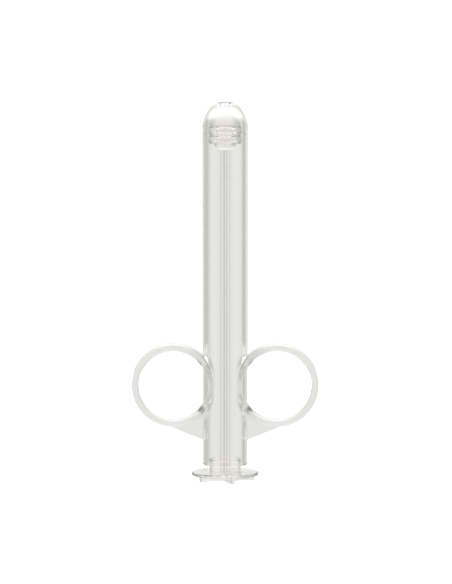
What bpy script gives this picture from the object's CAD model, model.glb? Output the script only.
"""Visual model of a clear plastic plunger syringe with two finger rings.

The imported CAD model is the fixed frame. The clear mouldings are rebuilt here as smooth, closed shells
that bend light as one body of plastic does, each at its CAD place, and ride on their CAD bodies.
Lengths are in metres, +Z is up along the barrel, and the front is -Y.
"""

from __future__ import annotations

import logging
import math
from dataclasses import dataclass, field
from enum import Enum
from typing import Iterable, Sequence

import bmesh
import bpy
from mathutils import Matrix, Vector

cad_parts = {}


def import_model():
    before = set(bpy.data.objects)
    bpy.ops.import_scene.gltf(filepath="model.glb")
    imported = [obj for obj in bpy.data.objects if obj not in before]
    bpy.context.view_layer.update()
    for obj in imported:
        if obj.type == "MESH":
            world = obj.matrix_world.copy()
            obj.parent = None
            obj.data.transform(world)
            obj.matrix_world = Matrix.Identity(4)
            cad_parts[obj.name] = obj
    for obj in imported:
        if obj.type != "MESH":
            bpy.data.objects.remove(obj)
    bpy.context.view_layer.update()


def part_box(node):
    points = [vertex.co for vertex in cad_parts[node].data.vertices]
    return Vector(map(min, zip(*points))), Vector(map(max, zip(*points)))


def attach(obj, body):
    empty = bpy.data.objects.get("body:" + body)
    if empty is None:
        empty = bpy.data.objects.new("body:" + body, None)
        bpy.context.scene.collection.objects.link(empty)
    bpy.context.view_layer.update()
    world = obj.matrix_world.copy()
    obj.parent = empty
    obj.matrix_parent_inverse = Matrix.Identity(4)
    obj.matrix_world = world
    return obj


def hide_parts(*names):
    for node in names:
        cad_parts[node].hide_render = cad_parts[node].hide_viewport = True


MM = 0.001
TINY = 1e-9
SHARP_ANGLE = math.radians(33)  # an edge that turns more than this stays sharp
FACE_WEIGHT = 60  # how much a large face rules the normals at its corners
WALL_MATCH = 0.004 * MM  # how near to a round wall's radius its corners lie
WALL_TILT = 0.05  # how far a round wall's faces may lean
LOG = logging.getLogger("syringe")

Point2 = tuple[float, float]
Colour = tuple[float, float, float]
Socket = bpy.types.NodeSocket


# ------------------------------------------------------------------ node helpers
def add_node(tree: bpy.types.NodeTree, kind: str, **values: object) -> bpy.types.Node:
    """Adds a node and sets its inputs.

    Args:
        tree: the node tree that gets the node.
        kind: the node's type name.
        values: input names, with spaces as underscores, and their values or the sockets that feed them.

    Returns:
        The new node.
    """
    node = tree.nodes.new(kind)
    for name, value in values.items():
        socket = node.inputs[name.replace("_", " ")]
        if isinstance(value, bpy.types.NodeSocket):
            tree.links.new(value, socket)
        else:
            socket.default_value = value
    return node


def add_math(tree: bpy.types.NodeTree, operation: str, *terms: object) -> bpy.types.NodeSocket:
    """Adds a Math node.

    Args:
        tree: the node tree that gets the node.
        operation: the operation's name.
        terms: numbers, or sockets that feed the node's inputs in order.

    Returns:
        The node's result socket.
    """
    node = tree.nodes.new("ShaderNodeMath")
    node.operation = operation
    for socket, term in zip(node.inputs, terms):
        if isinstance(term, bpy.types.NodeSocket):
            tree.links.new(term, socket)
        else:
            socket.default_value = term
    return node.outputs[0]


# ------------------------------------------------------------------ finishes
@dataclass(frozen=True)
class ClearPlastic:
    """A transparent moulded plastic or silicone, with faint flow marks and fine handling marks."""

    name: str
    tint: Colour
    ior: float
    polish: float  # roughness of the polished skin
    haze: float  # extra roughness where the skin is rubbed
    flow_size: float  # spacing of the flow marks
    flow_depth: float  # strength of the flow marks
    depth_tint: Colour  # colour left in light after a long way through
    depth_density: float  # absorption for each metre
    satin: float = 0.0  # extra roughness of the textured skin outside the satin radius
    satin_radius: float = 1.0
    satin_blend: float = 0.2 * MM
    core_mark: float = 0.0  # extra roughness left by the outlet's core pin
    core_radius: float = 2.1 * MM
    mark_depth: float = 0.05 * MM
    rub_scale: float = 6.0  # how many times finer than the flow marks the rubbed patches are
    rub_range: Point2 = (0.45, 0.8)  # noise values where the rubbing starts and is full

    def build(self) -> bpy.types.Material:
        """Builds the material.

        Returns:
            The new material.
        """
        material = bpy.data.materials.new(self.name)
        material.use_nodes = True
        tree = material.node_tree
        tree.nodes.clear()
        place = add_node(tree, "ShaderNodeTexCoord").outputs["Object"]
        flow = self._noise(tree, place, 1 / self.flow_size, 2.0)
        rubbed = self._noise(tree, place, self.rub_scale / self.flow_size, 6.0)
        spread = add_node(
            tree,
            "ShaderNodeMapRange",
            Value=rubbed,
            From_Min=self.rub_range[0],
            From_Max=self.rub_range[1],
            To_Min=self.polish,
            To_Max=self.polish + self.haze,
        )
        bump = add_node(
            tree, "ShaderNodeBump", Height=flow, Strength=self.flow_depth, Distance=self.mark_depth
        )
        roughness = add_math(tree, "ADD", spread.outputs["Result"], self._texture(tree, place))
        shader = add_node(
            tree,
            "ShaderNodeBsdfPrincipled",
            Base_Color=(*self.tint, 1.0),
            IOR=self.ior,
            Roughness=roughness,
            Normal=bump.outputs["Normal"],
            Transmission_Weight=1.0,
        )
        depth = add_node(
            tree,
            "ShaderNodeVolumeAbsorption",
            Color=(*self.depth_tint, 1.0),
            Density=self.depth_density,
        )
        add_node(
            tree,
            "ShaderNodeOutputMaterial",
            Surface=shader.outputs["BSDF"],
            Volume=depth.outputs["Volume"],
        )
        return material

    def _texture(self, tree: bpy.types.NodeTree, place: bpy.types.NodeSocket) -> bpy.types.NodeSocket:
        """Adds the roughness of the satin skin and of the outlet's matt wall.

        Args:
            tree: the material's tree.
            place: the object coordinates.

        Returns:
            The socket of the extra roughness.
        """
        split = add_node(tree, "ShaderNodeSeparateXYZ", Vector=place)
        across, deep = split.outputs["X"], split.outputs["Y"]
        squares = add_math(tree, "MULTIPLY_ADD", across, across, add_math(tree, "MULTIPLY", deep, deep))
        reach = add_math(tree, "SQRT", squares)
        skin = add_node(
            tree,
            "ShaderNodeMapRange",
            Value=reach,
            From_Min=self.satin_radius,
            From_Max=self.satin_radius + self.satin_blend,
            To_Max=self.satin,
        )
        core = add_math(tree, "LESS_THAN", reach, self.core_radius)
        return add_math(tree, "MULTIPLY_ADD", core, self.core_mark, skin.outputs["Result"])

    @staticmethod
    def _noise(
        tree: bpy.types.NodeTree, place: bpy.types.NodeSocket, scale: float, detail: float
    ) -> bpy.types.NodeSocket:
        """Adds a noise texture on the given coordinates and returns its value socket."""
        return add_node(tree, "ShaderNodeTexNoise", Vector=place, Scale=scale, Detail=detail).outputs["Fac"]


@dataclass(frozen=True)
class OpalTable:
    """A pale, matte opal tabletop, lit evenly from below, with a very fine tooth."""

    name: str
    colour: Colour
    tooth: float  # grain size
    glow: float  # light that comes up through it
    grain_depth: float = 0.05 * MM
    grain_strength: float = 0.05
    roughness: float = 0.9
    gloss: float = 0.1

    def build(self) -> bpy.types.Material:
        """Builds the material.

        Returns:
            The new material.
        """
        material = bpy.data.materials.new(self.name)
        material.use_nodes = True
        tree = material.node_tree
        tree.nodes.clear()
        place = add_node(tree, "ShaderNodeTexCoord").outputs["Object"]
        grain = add_node(tree, "ShaderNodeTexNoise", Vector=place, Scale=1 / self.tooth, Detail=3.0)
        bump = add_node(
            tree,
            "ShaderNodeBump",
            Height=grain.outputs["Fac"],
            Strength=self.grain_strength,
            Distance=self.grain_depth,
        )
        shader = add_node(
            tree,
            "ShaderNodeBsdfPrincipled",
            Base_Color=(*self.colour, 1.0),
            Roughness=self.roughness,
            Normal=bump.outputs["Normal"],
            Specular_IOR_Level=self.gloss,
            Emission_Color=(*self.colour, 1.0),
            Emission_Strength=self.glow,
        )
        add_node(tree, "ShaderNodeOutputMaterial", Surface=shader.outputs["BSDF"])
        return material


class Finish(Enum):
    """The finishes of the object and its stand."""

    BARREL = ClearPlastic(
        name="clear_barrel_plastic",
        tint=(0.975, 0.975, 0.97),
        ior=1.49,
        polish=0.015,
        haze=0.03,
        flow_size=9 * MM,
        flow_depth=0.25,
        depth_tint=(0.80, 0.81, 0.79),
        depth_density=15.0,
        satin=0.3,
        satin_radius=7.92 * MM,
        core_mark=0.55,
    )
    PLUNGER = ClearPlastic(
        name="clear_plunger_plastic",
        tint=(0.992, 0.985, 0.97),
        ior=1.49,
        polish=0.04,
        haze=0.03,
        flow_size=7 * MM,
        flow_depth=0.25,
        depth_tint=(0.80, 0.80, 0.78),
        depth_density=5.0,
    )
    SEAL = ClearPlastic(
        name="clear_seal_silicone",
        tint=(0.985, 0.975, 0.96),
        ior=1.41,
        polish=0.05,
        haze=0.05,
        flow_size=3 * MM,
        flow_depth=0.2,
        depth_tint=(0.75, 0.74, 0.71),
        depth_density=5.0,
    )
    TABLE = OpalTable(name="opal_tabletop", colour=(0.9, 0.9, 0.9), tooth=0.8 * MM, glow=0.7)

    def material(self) -> bpy.types.Material:
        """Returns the finish's material, building it the first time."""
        return bpy.data.materials.get(self.value.name) or self.value.build()


# ------------------------------------------------------------------ profiles and meshes
@dataclass(frozen=True)
class Corner:
    """A corner of an outline, across and up, with the radius that rounds it."""

    across: float
    up: float
    edge: float = 0.0


def rounded(corners: Sequence[Corner], steps: int = 8) -> list[Point2]:
    """Rounds the corners of a closed outline.

    Args:
        corners: the outline's corners, in order.
        steps: spans in each quarter turn of a rounded corner.

    Returns:
        The outline's points.
    """
    points: list[Point2] = []
    for index, corner in enumerate(corners):
        here = Vector((corner.across, corner.up))
        if corner.edge == 0:
            points.append(here[:])
            continue
        before, after = corners[index - 1], corners[(index + 1) % len(corners)]
        back = (Vector((before.across, before.up)) - here).normalized()
        ahead = (Vector((after.across, after.up)) - here).normalized()
        half = back.angle(ahead) / 2
        centre = here + (back + ahead).normalized() * corner.edge / math.sin(half)
        start = here + back * corner.edge / math.tan(half) - centre
        end = here + ahead * corner.edge / math.tan(half) - centre
        turn = start.angle_signed(end)
        spans = max(2, math.ceil(abs(turn) / (math.pi / 2) * steps))
        for span in range(spans + 1):
            angle = -turn * span / spans
            swung = Vector(
                (
                    start.x * math.cos(angle) - start.y * math.sin(angle),
                    start.x * math.sin(angle) + start.y * math.cos(angle),
                )
            )
            points.append((centre + swung)[:])
    return points


def ellipse(
    radius: float, rise: float, base: float, start_r: float, end_r: float, steps: int = 48
) -> list[Corner]:
    """Points on a quarter ellipse about the axis, from one radius to another.

    Args:
        radius: half axis across.
        rise: half axis up.
        base: height where the ellipse is widest.
        start_r: radius of the first point.
        end_r: radius of the last point.
        steps: spans between them.

    Returns:
        The points, as plain corners.
    """
    first, last = math.acos(start_r / radius), math.acos(end_r / radius)
    angles = [first + (last - first) * step / steps for step in range(steps + 1)]
    return [Corner(radius * math.cos(angle), base + rise * math.sin(angle)) for angle in angles]


def guarded(points: Sequence[Point2], guard: float) -> list[Point2]:
    """Adds a point near each end of every long span, so that smooth shading stays flat between them.

    Args:
        points: the closed outline's points.
        guard: how far from each end of a span its new point lies.

    Returns:
        The outline with the added points.
    """
    result: list[Point2] = []
    for index, point in enumerate(points):
        here, there = Vector(point), Vector(points[(index + 1) % len(points)])
        result.append(here[:])
        span = there - here
        if span.length > 4 * guard:
            result.append((here + span.normalized() * guard)[:])
            result.append((there - span.normalized() * guard)[:])
    return result


def new_object(name: str, mesh: bpy.types.Mesh) -> bpy.types.Object:
    """Makes an object for a mesh and links it to the scene.

    Args:
        name: the new object's name.
        mesh: its mesh.

    Returns:
        The object.
    """
    made = bpy.data.objects.new(name, mesh)
    bpy.context.scene.collection.objects.link(made)
    return made


def lathe(
    name: str, corners: Sequence[Corner], sides: int = 192, guard: float = 0.25 * MM
) -> bpy.types.Object:
    """Turns a closed outline about the Z axis.

    Args:
        name: the new object's name.
        corners: the outline; corners on the axis become poles.
        sides: spans round the axis.
        guard: how near to each edge a support loop lies.

    Returns:
        The turned, closed object.
    """
    points = guarded(rounded(corners), guard)
    shape = bmesh.new()
    columns: list[list[bmesh.types.BMVert]] = []
    turns = [2 * math.pi * side / sides for side in range(sides)]
    for across, up in points:
        if across < TINY:
            columns.append([shape.verts.new((0, 0, up))] * sides)
            continue
        places = [(across * math.cos(turn), across * math.sin(turn), up) for turn in turns]
        columns.append([shape.verts.new(place) for place in places])
    for row, column in enumerate(columns):
        following = columns[(row + 1) % len(columns)]
        for side in range(sides):
            other = (side + 1) % sides
            loop = [column[side], column[other], following[other], following[side]]
            unique = list(dict.fromkeys(loop))
            if len(unique) > 2:
                shape.faces.new(unique)
    bmesh.ops.recalc_face_normals(shape, faces=shape.faces)
    mesh = bpy.data.meshes.new(name)
    shape.to_mesh(mesh)
    shape.free()
    return new_object(name, mesh)


def plate(name: str, outline: Sequence[Point2], thickness: float, edge: float) -> bpy.types.Object:
    """Makes a flat plate that stands in the XZ plane, with its edges rounded.

    Args:
        name: the new object's name.
        outline: its corners, across and up.
        thickness: front to back.
        edge: rounding of all its edges.

    Returns:
        The closed plate.
    """
    shape = bmesh.new()
    front = [shape.verts.new((across, -thickness / 2, up)) for across, up in outline]
    back = [shape.verts.new((across, thickness / 2, up)) for across, up in outline]
    shape.faces.new(front)
    shape.faces.new(list(reversed(back)))
    for index in range(len(outline)):
        other = (index + 1) % len(outline)
        shape.faces.new((front[index], front[other], back[other], back[index]))
    bmesh.ops.recalc_face_normals(shape, faces=shape.faces)
    rims = [item for item in shape.edges if abs(item.verts[0].co.y - item.verts[1].co.y) < TINY]
    bmesh.ops.bevel(shape, geom=rims, offset=edge, segments=4, profile=0.5, affect="EDGES")
    mesh = bpy.data.meshes.new(name)
    shape.to_mesh(mesh)
    shape.free()
    return new_object(name, mesh)


def bake(piece: bpy.types.Object) -> None:
    """Turns an object's evaluated shape into its plain mesh and removes its modifiers.

    Args:
        piece: the object, which keeps its name.
    """
    graph = bpy.context.evaluated_depsgraph_get()
    mesh = bpy.data.meshes.new_from_object(piece.evaluated_get(graph))
    old = piece.data
    piece.modifiers.clear()
    piece.data = mesh
    mesh.name = piece.name
    bpy.data.meshes.remove(old)


def loose_parts(piece: bpy.types.Object) -> list[bpy.types.Object]:
    """Splits an object into one object for each loose part, and removes it.

    Args:
        piece: the object.

    Returns:
        The new objects.
    """
    shape = bmesh.new()
    shape.from_mesh(piece.data)
    shape.verts.ensure_lookup_table()
    island = [-1] * len(shape.verts)
    count = 0
    for seed in shape.verts:
        if island[seed.index] >= 0:
            continue
        stack = [seed]
        while stack:
            vert = stack.pop()
            if island[vert.index] >= 0:
                continue
            island[vert.index] = count
            stack.extend(link.other_vert(vert) for link in vert.link_edges)
        count += 1
    shape.free()
    parts = []
    for number in range(count):
        part = bmesh.new()
        part.from_mesh(piece.data)
        part.verts.ensure_lookup_table()
        extra = [vert for vert in part.verts if island[vert.index] != number]
        bmesh.ops.delete(part, geom=extra, context="VERTS")
        mesh = bpy.data.meshes.new(piece.name)
        part.to_mesh(mesh)
        part.free()
        parts.append(new_object(f"{piece.name}_{number}", mesh))
    bpy.data.objects.remove(piece)
    return parts


def combine(base: bpy.types.Object, tools: Iterable[bpy.types.Object], operation: str) -> None:
    """Joins closed objects to a base, or cuts them from it, and removes them.

    Args:
        base: the object that is changed.
        tools: the closed objects to join or cut.
        operation: UNION or DIFFERENCE.
    """
    for tool in tools:
        step = base.modifiers.new(operation.lower(), "BOOLEAN")
        step.operation = operation
        step.solver = "MANIFOLD"
        step.object = tool
        bake(base)
        mesh = tool.data
        bpy.data.objects.remove(tool)
        bpy.data.meshes.remove(mesh)


def polish(
    piece: bpy.types.Object, material: bpy.types.Material, round_radii: Sequence[float] = ()
) -> None:
    """Shades a closed piece smooth, with true normals on its round walls, and gives it its finish.

    Args:
        piece: the object.
        material: its finish.
        round_radii: radii of the walls about the Z axis whose normals are set from the axis.
    """
    mesh = piece.data
    mesh.shade_smooth()
    mesh.set_sharp_from_angle(angle=SHARP_ANGLE)
    weigh = piece.modifiers.new("weigh", "WEIGHTED_NORMAL")
    weigh.keep_sharp = True
    weigh.weight = FACE_WEIGHT
    bake(piece)
    mesh = piece.data
    normals = [Vector(corner.vector) for corner in mesh.corner_normals]
    for face in mesh.polygons:
        if abs(face.normal.z) > WALL_TILT:
            continue
        places = [mesh.vertices[index].co for index in face.vertices]
        spans = [math.hypot(place.x, place.y) for place in places]
        if not any(all(abs(span - radius) < WALL_MATCH for span in spans) for radius in round_radii):
            continue
        for loop, place in zip(face.loop_indices, places):
            outward = Vector((place.x, place.y, 0)).normalized()
            normals[loop] = outward if outward.dot(face.normal) > 0 else -outward
    mesh.normals_split_custom_set(normals)
    mesh.materials.clear()
    mesh.materials.append(material)


# ------------------------------------------------------------------ geometry node trees
def new_tree(name: str, inputs: Sequence[tuple[str, str]]) -> tuple[bpy.types.NodeTree, bpy.types.Node]:
    """Starts a geometry node tree with named inputs and one geometry output.

    Args:
        name: the tree's name.
        inputs: each input's name and socket type.

    Returns:
        The tree and its group input node.
    """
    tree = bpy.data.node_groups.new(name, "GeometryNodeTree")
    for label, kind in inputs:
        tree.interface.new_socket(label, in_out="INPUT", socket_type=kind)
    tree.interface.new_socket("Geometry", in_out="OUTPUT", socket_type="NodeSocketGeometry")
    return tree, tree.nodes.new("NodeGroupInput")


def close_tree(
    tree: bpy.types.NodeTree, shape: bpy.types.NodeSocket, material: bpy.types.NodeSocket
) -> None:
    """Ends a tree in Realize Instances and Set Material.

    Args:
        tree: the tree.
        shape: the socket of its shape.
        material: the socket of its material.
    """
    real = add_node(tree, "GeometryNodeRealizeInstances", Geometry=shape)
    dressed = add_node(tree, "GeometryNodeSetMaterial", Geometry=real.outputs[0], Material=material)
    add_node(tree, "NodeGroupOutput", Geometry=dressed.outputs[0])


def grow(name: str, tree: bpy.types.NodeTree, values: dict[str, object]) -> bpy.types.Object:
    """Makes an object from a geometry node tree and turns it into a plain mesh.

    Args:
        name: the new object's name.
        tree: the tree.
        values: each named input's value.

    Returns:
        The object, with its modifier removed.
    """
    made = new_object(name, bpy.data.meshes.new(name))
    modifier = made.modifiers.new("grow", "NODES")
    modifier.node_group = tree
    for item in tree.interface.items_tree:
        if item.item_type == "SOCKET" and item.in_out == "INPUT":
            modifier[item.identifier] = values[item.name]
    bake(made)
    return made


def rounded_section(
    tree: bpy.types.NodeTree, width: Socket, height: Socket, steps: Socket, edge: Socket
) -> bpy.types.NodeSocket:
    """Adds a rectangle with rounded corners, to sweep along a path.

    Args:
        tree: the tree.
        width: the socket of its width.
        height: the socket of its height.
        steps: the socket of the spans round each corner.
        edge: the socket of the corners' radius.

    Returns:
        The socket of its curve.
    """
    section = add_node(tree, "GeometryNodeCurvePrimitiveQuadrilateral", Width=width, Height=height)
    eased = tree.nodes.new("GeometryNodeFilletCurve")
    eased.mode = "POLY"
    tree.links.new(section.outputs[0], eased.inputs["Curve"])
    tree.links.new(steps, eased.inputs["Count"])
    tree.links.new(edge, eased.inputs["Radius"])
    return eased.outputs["Curve"]


def band_tree() -> bpy.types.NodeTree:
    """Builds the tree of a round band swept along a circle.

    The band's section is a rounded rectangle. Past a given distance from the XZ plane's centre line it
    keeps its width, and nearer than that its rims flare apart along an arc.

    Returns:
        The tree, or the one built before.
    """
    found = bpy.data.node_groups.get("round_band")
    if found:
        return found
    number, whole, vector = "NodeSocketFloat", "NodeSocketInt", "NodeSocketVector"
    tree, given = new_tree(
        "round_band",
        [
            ("Radius", number),
            ("Wall", number),
            ("Width", number),
            ("Edge", number),
            ("Round Steps", whole),
            ("Edge Steps", whole),
            ("Turn", vector),
            ("Place", vector),
            ("Flare Start", number),
            ("Flare Radius", number),
            ("Material", "NodeSocketMaterial"),
        ],
    )
    take = given.outputs
    path = add_node(
        tree, "GeometryNodeCurvePrimitiveCircle", Resolution=take["Round Steps"], Radius=take["Radius"]
    )
    section = rounded_section(tree, take["Wall"], take["Width"], take["Edge Steps"], take["Edge"])
    swept = add_node(tree, "GeometryNodeCurveToMesh", Curve=path.outputs["Curve"], Profile_Curve=section)
    placed = add_node(
        tree,
        "GeometryNodeTransform",
        Geometry=swept.outputs["Mesh"],
        Translation=take["Place"],
        Rotation=take["Turn"],
    )
    spot = tree.nodes.new("GeometryNodeInputPosition").outputs[0]
    split = add_node(tree, "ShaderNodeSeparateXYZ", Vector=spot)
    inside = add_math(tree, "SUBTRACT", take["Flare Start"], add_math(tree, "ABSOLUTE", split.outputs["X"]))
    inside = add_math(tree, "MAXIMUM", inside, 0.0)
    drop = add_math(
        tree,
        "SUBTRACT",
        add_math(tree, "MULTIPLY", take["Flare Radius"], take["Flare Radius"]),
        add_math(tree, "MULTIPLY", inside, inside),
    )
    spread = add_math(tree, "SUBTRACT", take["Flare Radius"], add_math(tree, "SQRT", drop))
    side = add_math(tree, "SIGN", split.outputs["Y"])
    shift = add_node(tree, "ShaderNodeCombineXYZ", Y=add_math(tree, "MULTIPLY", spread, side))
    flared = add_node(
        tree, "GeometryNodeSetPosition", Geometry=placed.outputs["Geometry"], Offset=shift.outputs["Vector"]
    )
    close_tree(tree, flared.outputs["Geometry"], take["Material"])
    return tree


def fin_tree() -> bpy.types.NodeTree:
    """Builds the tree of straight fins set round the Z axis.

    Each fin is an upright bar with rounded corners. They stand at equal turns about the axis, each
    moved out from it by the offset.

    Returns:
        The tree, or the one built before.
    """
    found = bpy.data.node_groups.get("fins")
    if found:
        return found
    number, whole = "NodeSocketFloat", "NodeSocketInt"
    tree, given = new_tree(
        "fins",
        [
            ("Count", whole),
            ("Step Turn", number),
            ("First Turn", number),
            ("Offset", number),
            ("Length", number),
            ("Width", number),
            ("Edge", number),
            ("Edge Steps", whole),
            ("Bottom", number),
            ("Top", number),
            ("Material", "NodeSocketMaterial"),
        ],
    )
    take = given.outputs
    foot = add_node(tree, "ShaderNodeCombineXYZ", X=take["Offset"], Z=take["Bottom"])
    head = add_node(tree, "ShaderNodeCombineXYZ", X=take["Offset"], Z=take["Top"])
    path = add_node(
        tree, "GeometryNodeCurvePrimitiveLine", Start=foot.outputs["Vector"], End=head.outputs["Vector"]
    )
    section = rounded_section(tree, take["Length"], take["Width"], take["Edge Steps"], take["Edge"])
    bar = add_node(
        tree, "GeometryNodeCurveToMesh", Curve=path.outputs["Curve"], Profile_Curve=section, Fill_Caps=True
    )
    spots = add_node(tree, "GeometryNodeMeshLine", Count=take["Count"], Offset=(0, 0, 0))
    turn = add_math(
        tree,
        "MULTIPLY_ADD",
        tree.nodes.new("GeometryNodeInputIndex").outputs[0],
        take["Step Turn"],
        take["First Turn"],
    )
    turned = add_node(tree, "ShaderNodeCombineXYZ", Z=turn)
    fins = add_node(
        tree,
        "GeometryNodeInstanceOnPoints",
        Points=spots.outputs["Mesh"],
        Instance=bar.outputs["Mesh"],
        Rotation=turned.outputs["Vector"],
    )
    close_tree(tree, fins.outputs["Instances"], take["Material"])
    return tree


# ------------------------------------------------------------------ the object
@dataclass
class Barrel:
    """The barrel side: tube, finger rings and webs in one moulding, and the nose cap welded on it."""

    bore_radius: float = 6.3 * MM
    mouth_edge: float = 0.4 * MM
    weld_groove: float = 0.02 * MM
    weld_gap: float = 0.01 * MM
    ring_wall: float = 2.5 * MM
    ring_hole_radius: float = 12.2 * MM
    ring_width: float = 5.8 * MM
    ring_edge: float = 0.95 * MM
    root_proud: float = 0.25 * MM
    root_margin: float = 0.5 * MM
    round_steps: int = 256
    edge_steps: int = 8
    web_thickness: float = 1.7 * MM
    web_foot: float = 8.7 * MM
    web_root_depth: float = 0.4 * MM
    web_sink: float = 1 * MM
    web_steps: int = 24
    web_edge: float = 0.3 * MM
    nose_skirt: float = 1.3 * MM
    cavity_skirt: float = 2.3 * MM
    nose_rise: float = 10.2 * MM
    tip_flat_radius: float = 2.7 * MM
    tip_edge: float = 0.3 * MM
    tip_wall: float = 2.5 * MM
    outlet_radius: float = 1.5 * MM
    outlet_edge: float = 0.25 * MM
    radius: float = field(init=False)
    mouth: float = field(init=False)
    weld: float = field(init=False)
    tip: float = field(init=False)

    def __post_init__(self) -> None:
        """Takes the tube's radius and the heights of its mouth, weld and tip from the frame."""
        low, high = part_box("barrel_tube")
        self.radius, self.mouth, self.weld = high.x, low.z, high.z
        self.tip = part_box("nose_cap")[1].z

    def build(self) -> list[bpy.types.Object]:
        """Builds the barrel moulding and the nose cap, and returns them."""
        return [self._moulding(), self._nose()]

    def _moulding(self) -> bpy.types.Object:
        """Builds the tube with its rings and webs as one body.

        Returns:
            The piece.
        """
        top = self.weld - self.weld_gap / 2
        body = lathe(
            "barrel_moulding",
            [
                Corner(0, self.mouth),
                Corner(self.radius, self.mouth, self.mouth_edge),
                Corner(self.radius, top - self.weld_groove),
                Corner(self.radius - self.weld_groove, top),
                Corner(0, top),
            ],
        )
        combine(body, [self._ring(side) for side in (-1, 1)], "UNION")
        combine(body, [self._web(side) for side in (-1, 1)], "UNION")
        combine(body, [self._bore()], "DIFFERENCE")
        polish(body, Finish.BARREL.material(), (self.radius, self.bore_radius))
        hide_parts("barrel_tube", "finger_ring_left", "finger_ring_right")
        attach(body, "barrel")
        return body

    def _bore(self) -> bpy.types.Object:
        """Builds the solid that is cut out for the bore, with its rounded mouth.

        Returns:
            The solid.
        """
        past = 1 * MM
        edge = self.mouth_edge
        flare = self.bore_radius + edge
        turns = [math.pi / 2 * step / self.edge_steps for step in range(self.edge_steps + 1)]
        curve = [
            Corner(flare - edge * math.sin(turn), self.mouth + edge * (1 - math.cos(turn)))
            for turn in turns
        ]
        return lathe(
            "bore",
            [
                Corner(0, self.mouth - past),
                Corner(flare, self.mouth - past),
                *curve,
                Corner(self.bore_radius, self.weld + past),
                Corner(0, self.weld + past),
            ],
        )

    def _ring_centre(self) -> Point2:
        """Finds the right-hand ring's centre in the frame.

        Returns:
            The centre, across and up.
        """
        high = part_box("finger_ring_right")[1]
        crown = self.ring_hole_radius + self.ring_wall
        return high.x - crown, high.z - crown

    def _ring(self, side: int) -> bpy.types.Object:
        """Builds one finger ring, whose band flares onto the barrel's front and back.

        Args:
            side: 1 for the right-hand ring and -1 for the left-hand one.

        Returns:
            The ring, to be joined to the tube.
        """
        across, up = self._ring_centre()
        root_x = across - self.ring_hole_radius - self.ring_wall - self.root_margin
        root_y = math.sqrt(self.radius**2 - root_x**2) + self.root_proud
        run, rise = across - root_x, root_y - self.ring_width / 2
        return grow(
            "finger_ring",
            band_tree(),
            {
                "Radius": self.ring_hole_radius + self.ring_wall / 2,
                "Wall": self.ring_wall,
                "Width": self.ring_width,
                "Edge": self.ring_edge,
                "Round Steps": self.round_steps,
                "Edge Steps": self.edge_steps,
                "Turn": (math.pi / 2, 0, 0),
                "Place": (side * across, 0, up),
                "Flare Start": across,
                "Flare Radius": (run**2 + rise**2) / (2 * rise),
                "Material": Finish.BARREL.material(),
            },
        )

    def _web(self, side: int) -> bpy.types.Object:
        """Builds the flat web between one ring and the tube.

        Args:
            side: 1 for the right-hand web and -1 for the left-hand one.

        Returns:
            The web, to be joined to the tube.
        """
        across, up = self._ring_centre()
        seat = self.radius - self.web_sink
        foot = self.mouth + self.web_foot
        reach = self.ring_hole_radius + self.ring_wall - self.web_root_depth
        to_x, to_z = self.radius - across, foot - up
        start = math.atan2(to_z, to_x) + math.acos(reach / math.hypot(to_x, to_z))
        middle = self.ring_hole_radius + self.ring_wall / 2
        end = -math.acos((seat - across) / middle)
        turns = [start + (end - start) * step / self.web_steps for step in range(self.web_steps + 1)]
        outline = [(seat, foot), (self.radius, foot)]
        outline.append((across + reach * math.cos(start), up + reach * math.sin(start)))
        outline += [(across + middle * math.cos(turn), up + middle * math.sin(turn)) for turn in turns]
        return plate("web", [(side * x, z) for x, z in outline], self.web_thickness, self.web_edge)

    def _nose(self) -> bpy.types.Object:
        """Builds the domed nose cap with its outlet.

        Returns:
            The piece.
        """
        bottom = self.weld + self.weld_gap / 2
        dome = self.weld + self.nose_skirt
        cavity = self.weld + self.cavity_skirt
        inner_rise = self.tip - self.tip_wall - cavity
        inner_rise /= math.sqrt(1 - (self.outlet_radius / self.bore_radius) ** 2)
        outside = ellipse(self.radius, self.nose_rise, dome, self.radius, self.tip_flat_radius)
        inside = ellipse(self.bore_radius, inner_rise, cavity, self.outlet_radius, self.bore_radius)
        last = outside.pop()
        cap = lathe(
            "nose_cap_dome",
            [
                Corner(self.bore_radius, bottom),
                Corner(self.radius - self.weld_groove, bottom),
                Corner(self.radius, bottom + self.weld_groove),
                *outside,
                Corner(last.across, self.tip, self.tip_edge),
                Corner(self.outlet_radius, self.tip, self.outlet_edge),
                *inside,
            ],
        )
        polish(cap, Finish.BARREL.material(), (self.radius, self.bore_radius))
        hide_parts("nose_cap")
        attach(cap, "barrel")
        return cap


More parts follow.
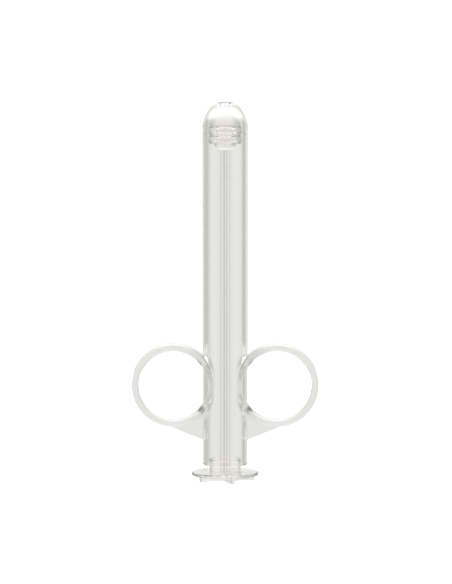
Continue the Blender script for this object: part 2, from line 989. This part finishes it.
@dataclass
class Plunger:
    """The plunger side: disc, grip star, collar and rod in one moulding, and the piston on its end."""

    seal_wall: float
    rib_count: int = 5
    rib_width: float = 1.5 * MM
    rib_reach: float = 10.4 * MM
    rib_turn: float = math.radians(-75.5)
    rib_edge: float = 0.3 * MM
    hub_radius: float = 2.2 * MM
    disc_thickness: float = 1.2 * MM
    disc_edge: float = 0.4 * MM
    collar_wall: float = 0.7 * MM
    collar_edge: float = 0.3 * MM
    rod_span: float = 3.5 * MM
    rod_fin: float = 1.0 * MM
    rod_turn: float = math.radians(10)
    rod_edge: float = 0.2 * MM
    root: float = 0.3 * MM  # how far joined shapes run into each other
    seat_gap: float = 0.02 * MM
    bowl_rise: float = 2.6 * MM
    bowl_radius: float = 3.9 * MM
    rod_seat_radius: float = 1.85 * MM
    end_land: float = 0.45 * MM
    groove_clearance: float = 0.05 * MM
    land_edge: float = 0.12 * MM
    edge_steps: int = 5
    bowl_steps: int = 24
    hub_sides: int = 48

    def build(self) -> list[bpy.types.Object]:
        """Builds the plunger moulding and the piston, and returns them."""
        return [self._moulding(), self._piston()]

    def _moulding(self) -> bpy.types.Object:
        """Builds the disc, star, collar and rod as one body.

        Returns:
            The piece.
        """
        low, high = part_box("thumb_disc")
        top, bottom = high.z, high.z - self.disc_thickness
        material = Finish.PLUNGER.material()
        body = lathe(
            "plunger_moulding",
            [
                Corner(0, bottom),
                Corner(high.x, bottom, self.disc_edge),
                Corner(high.x, top, self.disc_edge),
                Corner(0, top),
            ],
        )
        hub = lathe(
            "hub",
            [
                Corner(0, low.z),
                Corner(self.hub_radius, low.z),
                Corner(self.hub_radius, bottom + self.root),
                Corner(0, bottom + self.root),
            ],
            sides=self.hub_sides,
        )
        star = grow(
            "star",
            fin_tree(),
            {
                "Count": self.rib_count,
                "Step Turn": 2 * math.pi / self.rib_count,
                "First Turn": self.rib_turn,
                "Offset": self.rib_reach / 2,
                "Length": self.rib_reach,
                "Width": self.rib_width,
                "Edge": self.rib_edge,
                "Edge Steps": self.edge_steps,
                "Bottom": low.z,
                "Top": bottom + self.root,
                "Material": material,
            },
        )
        rod = grow(
            "rod",
            fin_tree(),
            {
                "Count": 2,
                "Step Turn": math.pi / 2,
                "First Turn": self.rod_turn,
                "Offset": 0.0,
                "Length": self.rod_span,
                "Width": self.rod_fin,
                "Edge": self.rod_edge,
                "Edge Steps": self.edge_steps,
                "Bottom": top - self.root,
                "Top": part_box("plunger_rod")[1].z - self.seat_gap,
                "Material": material,
            },
        )
        combine(body, [hub, *loose_parts(star), *loose_parts(rod), self._collar(top)], "UNION")
        collar_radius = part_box("guide_collar")[1].x
        polish(body, material, (high.x, collar_radius, collar_radius - self.collar_wall, self.hub_radius))
        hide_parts("thumb_disc", "guide_collar", "plunger_rod")
        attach(body, "plunger")
        return body

    def _collar(self, seat: float) -> bpy.types.Object:
        """Builds the round guide collar that stands on the disc.

        Args:
            seat: the height of the disc's top.

        Returns:
            The collar, to be joined to the disc.
        """
        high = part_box("guide_collar")[1]
        return lathe(
            "collar",
            [
                Corner(high.x - self.collar_wall, seat - self.root),
                Corner(high.x, seat - self.root),
                Corner(high.x, high.z, self.collar_edge),
                Corner(high.x - self.collar_wall, high.z, self.collar_edge),
            ],
        )

    def _piston(self) -> bpy.types.Object:
        """Builds the piston, with its rounded back, two seal grooves and domed front.

        Returns:
            The piece.
        """
        low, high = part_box("piston")
        seals = [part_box(name) for name in ("piston_seal_rear", "piston_seal_front")]
        gap = self.groove_clearance
        inner = seals[1][1].x - self.seal_wall - gap
        shoulder = seals[1][1].z + gap + self.end_land
        back = seals[0][0].z - gap - self.end_land
        bowl = ellipse(
            self.bowl_radius, -self.bowl_rise, back, self.rod_seat_radius, self.bowl_radius, self.bowl_steps
        )
        steps = [
            corner
            for bottom, top in seals
            for corner in (
                Corner(high.x, bottom.z - gap, self.land_edge),
                Corner(inner, bottom.z - gap),
                Corner(inner, top.z + gap),
                Corner(high.x, top.z + gap, self.land_edge),
            )
        ]
        body = lathe(
            "piston_body",
            [
                Corner(0, low.z),
                *bowl,
                Corner(high.x, back, self.land_edge),
                *steps,
                *ellipse(high.x, high.z - shoulder, shoulder, high.x, 0.0),
            ],
        )
        polish(body, Finish.PLUNGER.material(), (high.x, inner))
        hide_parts("piston")
        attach(body, "plunger")
        return body


@dataclass
class Seals:
    """The two silicone rings in the piston's grooves."""

    wall: float = 3.3 * MM
    seat_edge: float = 0.9 * MM  # rounding on the groove's floor
    rim_edge: float = 0.15 * MM  # rounding on the bore

    def build(self) -> list[bpy.types.Object]:
        """Builds both seals, and returns them."""
        return [self._seal(end) for end in ("front", "rear")]

    def _seal(self, end: str) -> bpy.types.Object:
        """Builds the seal at one end of the piston.

        Args:
            end: front or rear.

        Returns:
            The piece.
        """
        low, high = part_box(f"piston_seal_{end}")
        inner = high.x - self.wall
        ring = lathe(
            f"seal_ring_{end}",
            [
                Corner(inner, low.z, self.seat_edge),
                Corner(high.x, low.z, self.rim_edge),
                Corner(high.x, high.z, self.rim_edge),
                Corner(inner, high.z, self.seat_edge),
            ],
        )
        polish(ring, Finish.SEAL.material(), (high.x,))
        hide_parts(f"piston_seal_{end}")
        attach(ring, "seals")
        return ring


# ------------------------------------------------------------------ the studio
@dataclass
class Studio:
    """A round pale tabletop, a soft overhead light and a bright, even surround behind the object."""

    table_radius: float = 0.32
    table_edge: float = 4 * MM
    table_depth: float = 12 * MM
    table_sides: int = 128
    camera_distance: float = 1.3
    camera_elevation: float = math.radians(5.8)
    view_height: float = 0.205  # height of the view at the object
    aim_across: float = 0.0003
    aim_height: float = 0.0666
    sensor: float = 36.0
    clip: Point2 = (0.01, 50.0)
    light_colour: Colour = (1.0, 0.997, 0.98)
    open_level: float = 1.1  # what the camera sees past the object
    # level of the surround at each turn away from straight behind, in degrees
    levels: tuple[Point2, ...] = ((13, 0.84), (34, 0.55), (58, 0.55), (85, 0.9), (125, 0.9), (150, 0.58))
    bright_turn: float = math.radians(4)  # the bright quarter's middle lies this far to the right
    pole_level: float = 1.25  # straight up and straight down, before the lift
    pole_edge: Point2 = (0.18, 0.7)
    lift: float = 0.12  # how much lighter the surround grows upwards
    lamp_size: float = 0.9
    lamp_height: float = 0.95
    lamp_back: float = 0.1
    lamp_power: float = 12.0
    clear_bounces: int = 32
    glossy_bounces: int = 8
    diffuse_bounces: int = 3

    def build(self) -> None:
        """Sets up the table, the lights, the surround and the camera."""
        self._table()
        self._lamp()
        self._surround()
        self._camera()
        scene = bpy.context.scene
        scene.view_settings.view_transform = "Standard"
        scene.cycles.max_bounces = self.clear_bounces
        scene.cycles.transmission_bounces = self.clear_bounces
        scene.cycles.glossy_bounces = self.glossy_bounces
        scene.cycles.diffuse_bounces = self.diffuse_bounces

    def _table(self) -> None:
        """Builds the round tabletop."""
        table = lathe(
            "tabletop",
            [
                Corner(0, -self.table_depth),
                Corner(self.table_radius, -self.table_depth, self.table_edge),
                Corner(self.table_radius, 0, self.table_edge),
                Corner(0, 0),
            ],
            sides=self.table_sides,
            guard=self.table_edge / 2,
        )
        polish(table, Finish.TABLE.material())
        table.visible_transmission = False
        table.visible_glossy = False

    def _lamp(self) -> None:
        """Hangs the overhead softbox."""
        lamp = bpy.data.lights.new("overhead_softbox", "AREA")
        lamp.shape = "SQUARE"
        lamp.size = self.lamp_size
        lamp.energy = self.lamp_power
        hung = bpy.data.objects.new("overhead_softbox", lamp)
        bpy.context.scene.collection.objects.link(hung)
        hung.location = (0, self.lamp_back, self.lamp_height)
        hung.visible_transmission = False

    def _surround(self) -> None:
        """Paints the surround, which is lightest behind the object, at its sides and at the poles."""
        world = bpy.data.worlds.new("surround")
        bpy.context.scene.world = world
        world.use_nodes = True
        tree = world.node_tree
        tree.nodes.clear()
        heading = add_node(tree, "ShaderNodeTexCoord").outputs["Generated"]
        split = add_node(tree, "ShaderNodeSeparateXYZ", Vector=heading)
        azimuth = add_math(tree, "ARCTAN2", split.outputs["X"], split.outputs["Y"])
        turn = add_math(tree, "ABSOLUTE", add_math(tree, "SUBTRACT", azimuth, self.bright_turn))
        ramp = add_node(tree, "ShaderNodeValToRGB", Fac=add_math(tree, "DIVIDE", turn, math.pi))
        ramp.color_ramp.interpolation = "EASE"
        for stop, (degrees, value) in zip(self._stops(ramp.color_ramp), self.levels):
            stop.position = degrees / 180
            stop.color = (value, value, value, 1.0)
        around = ramp.outputs["Color"]
        tilt = add_math(tree, "ABSOLUTE", split.outputs["Z"])
        start, full = self.pole_edge
        pole = add_node(tree, "ShaderNodeMapRange", Value=tilt, From_Min=start, From_Max=full)
        pole.interpolation_type = "SMOOTHSTEP"
        even = add_node(tree, "ShaderNodeMix", Factor=pole.outputs["Result"], A=around, B=self.pole_level)
        lift = add_math(tree, "MULTIPLY_ADD", split.outputs["Z"], self.lift, 1.0)
        glow = add_math(tree, "MULTIPLY", even.outputs["Result"], lift)
        seen = add_node(tree, "ShaderNodeLightPath").outputs["Is Camera Ray"]
        level = add_node(tree, "ShaderNodeMix", Factor=seen, A=glow, B=self.open_level).outputs["Result"]
        light = add_node(tree, "ShaderNodeBackground", Strength=level)
        light.inputs["Color"].default_value = (*self.light_colour, 1.0)
        add_node(tree, "ShaderNodeOutputWorld", Surface=light.outputs["Background"])

    def _stops(self, ramp: bpy.types.ColorRamp) -> Iterable[bpy.types.ColorRampElement]:
        """Gives the ramp one stop for each level.

        Args:
            ramp: the ramp, which starts with two stops.

        Returns:
            Its stops.
        """
        for degrees, _ in self.levels[2:]:
            ramp.elements.new(degrees / 180)
        return ramp.elements

    def _camera(self) -> None:
        """Places the camera in front, a little above the object."""
        data = bpy.data.cameras.new("camera")
        data.sensor_width = self.sensor
        data.lens = self.sensor * self.camera_distance / self.view_height
        data.clip_start, data.clip_end = self.clip
        camera = bpy.data.objects.new("camera", data)
        bpy.context.scene.collection.objects.link(camera)
        back = Vector((0, -math.cos(self.camera_elevation), math.sin(self.camera_elevation)))
        camera.location = Vector((self.aim_across, 0, self.aim_height)) + back * self.camera_distance
        camera.rotation_mode = "QUATERNION"
        camera.rotation_quaternion = (-back).to_track_quat("-Z", "Y")
        bpy.context.scene.camera = camera


def main() -> None:
    """Loads the frame, builds every piece in order and sets the studio up."""
    logging.basicConfig(level=logging.INFO, format="%(name)s: %(message)s")
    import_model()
    seals = Seals()
    for part in (Barrel(), Plunger(seal_wall=seals.wall), seals):
        for piece in part.build():
            LOG.info("%s: %d faces", piece.name, len(piece.data.polygons))
    Studio().build()


if __name__ == "__main__":
    main()
